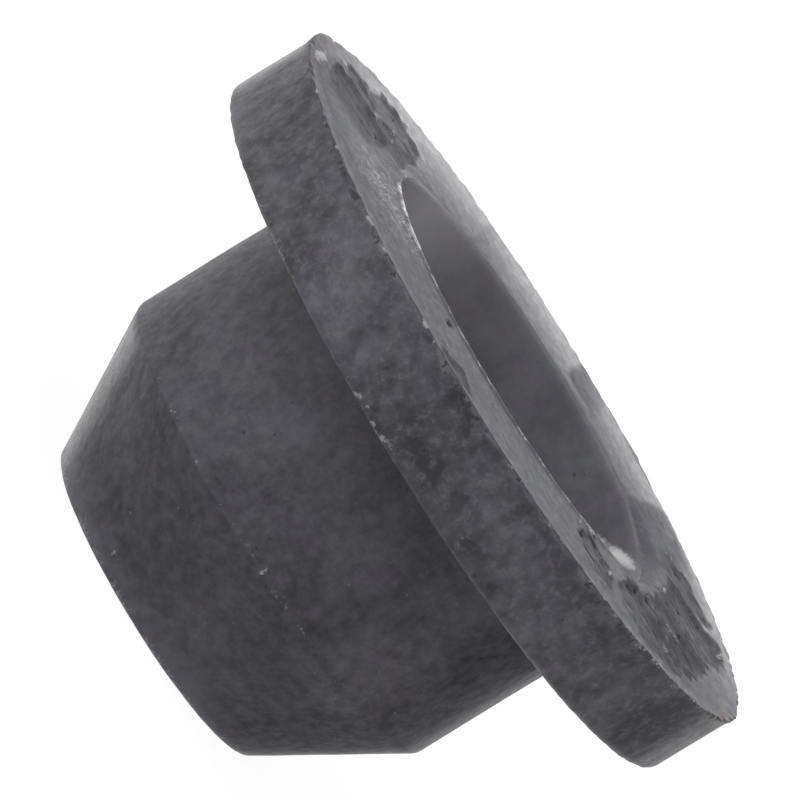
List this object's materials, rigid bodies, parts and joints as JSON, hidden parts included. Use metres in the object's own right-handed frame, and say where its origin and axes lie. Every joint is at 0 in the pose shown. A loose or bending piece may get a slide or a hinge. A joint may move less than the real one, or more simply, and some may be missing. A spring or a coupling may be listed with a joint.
{
  "type": "flanged rubber grommet",
  "caption": "Push-in rubber grommet: thick round flange, plain cylindrical body and tapered nose around a through bore, its flange face torn and its rim trimmed rough.",
  "frame": {"origin": "on the axis, in the plane of the nose's end face, which the grommet stands on", "axes": "+Z along the axis from the nose to the flange face; +X towards the ridged tear in the flange face"},
  "size_m": [0.026, 0.026, 0.0143],
  "materials": {
    "rubber": "matt moulded rubber with a pale bloom; torn patches darker"
  },
  "bodies": {
    "root": {"grommet": "rubber"}
  },
  "joints": []
}
